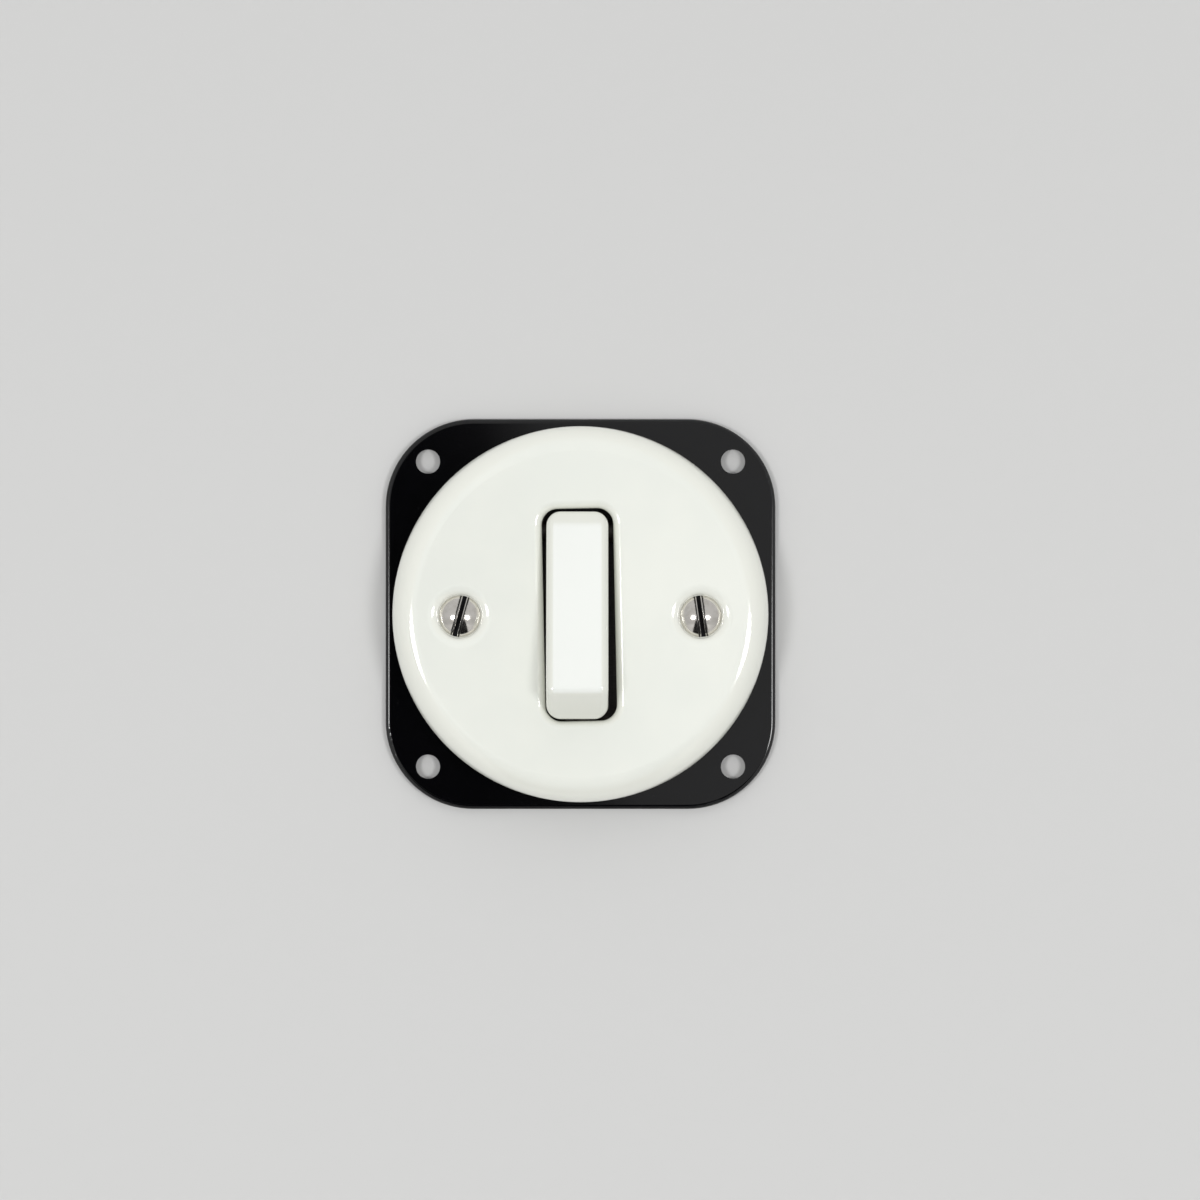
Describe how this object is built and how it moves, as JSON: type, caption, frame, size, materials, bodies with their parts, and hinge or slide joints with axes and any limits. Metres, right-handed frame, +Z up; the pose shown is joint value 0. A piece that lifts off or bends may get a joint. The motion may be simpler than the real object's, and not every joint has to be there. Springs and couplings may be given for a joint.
{
  "type": "pushbutton switch",
  "caption": "Round white porcelain wall switch with a long tilting press button in a slot, two slotted screws, a square black mounting plate with rounded corners and an insert behind it.",
  "frame": {"origin": "centre of the four wall holes, on the plate's back face, which lies on the wall", "axes": "+Y into the wall, -Y towards the room, +Z up, +X to the right as seen from the room"},
  "size_m": [0.08, 0.042, 0.08],
  "materials": {
    "plate": "glossy black stove enamel",
    "porcelain": "glossy warm white glaze",
    "button": "glossy cool white moulding",
    "nickel": "polished nickel plating",
    "steel": "zinc-plated sheet and wire",
    "spring": "drawn spring wire",
    "black_steel": "blackened sheet and wire",
    "laminate": "brown insulating laminate",
    "moulding": "dark moulded resin",
    "brass": "turned and stamped brass",
    "contact": "silver contact metal"
  },
  "bodies": {
    "housing": {"mounting_plate": "plate", "porcelain_cover": "porcelain", "pivot_pin": "black_steel", "support_ring": "black_steel", "insert_base": "moulding", "back_cover": "laminate", "return_spring": "spring", "back_cover_screw_upper": "brass", "back_cover_screw_lower": "brass", "cover_screw_left": "nickel", "cover_bush_left": "brass", "pin_clip_left": "black_steel", "base_screw_left": "steel", "fixed_contact_left": "contact", "contact_strip_left": "brass", "terminal_block_left": "brass", "terminal_screw_left": "brass", "ring_rivet_upper_left": "black_steel", "ring_rivet_lower_left": "black_steel", "cover_screw_right": "nickel", "cover_bush_right": "brass", "pin_clip_right": "black_steel", "base_screw_right": "steel", "fixed_contact_right": "contact", "contact_strip_right": "brass", "terminal_block_right": "brass", "terminal_screw_right": "brass", "ring_rivet_upper_right": "black_steel", "ring_rivet_lower_right": "black_steel"},
    "button": {"push_button": "button", "button_carrier": "moulding"},
    "plunger": {"plunger": "moulding", "contact_bridge": "brass", "contact_spring": "spring", "moving_contact_left": "contact", "moving_contact_right": "contact"}
  },
  "joints": [
    {"name": "button_tilt", "type": "hinge", "parent": "housing", "child": "button", "pos_m": [0, -0.005, 0.017], "axis": [1, 0, 0], "range_deg": [0, 6.2], "stiffness_Nm_per_rad": 0.25, "springref_deg": -6.88},
    {"name": "plunger_travel", "type": "slide", "parent": "housing", "child": "plunger", "axis": [0, 1, 0], "range_m": [0, 0.0022], "deforming": ["return_spring"]}
  ],
  "couplings": [
    {"joint": "plunger_travel", "follows": "button_tilt", "m_per_rad": 0.02}
  ]
}
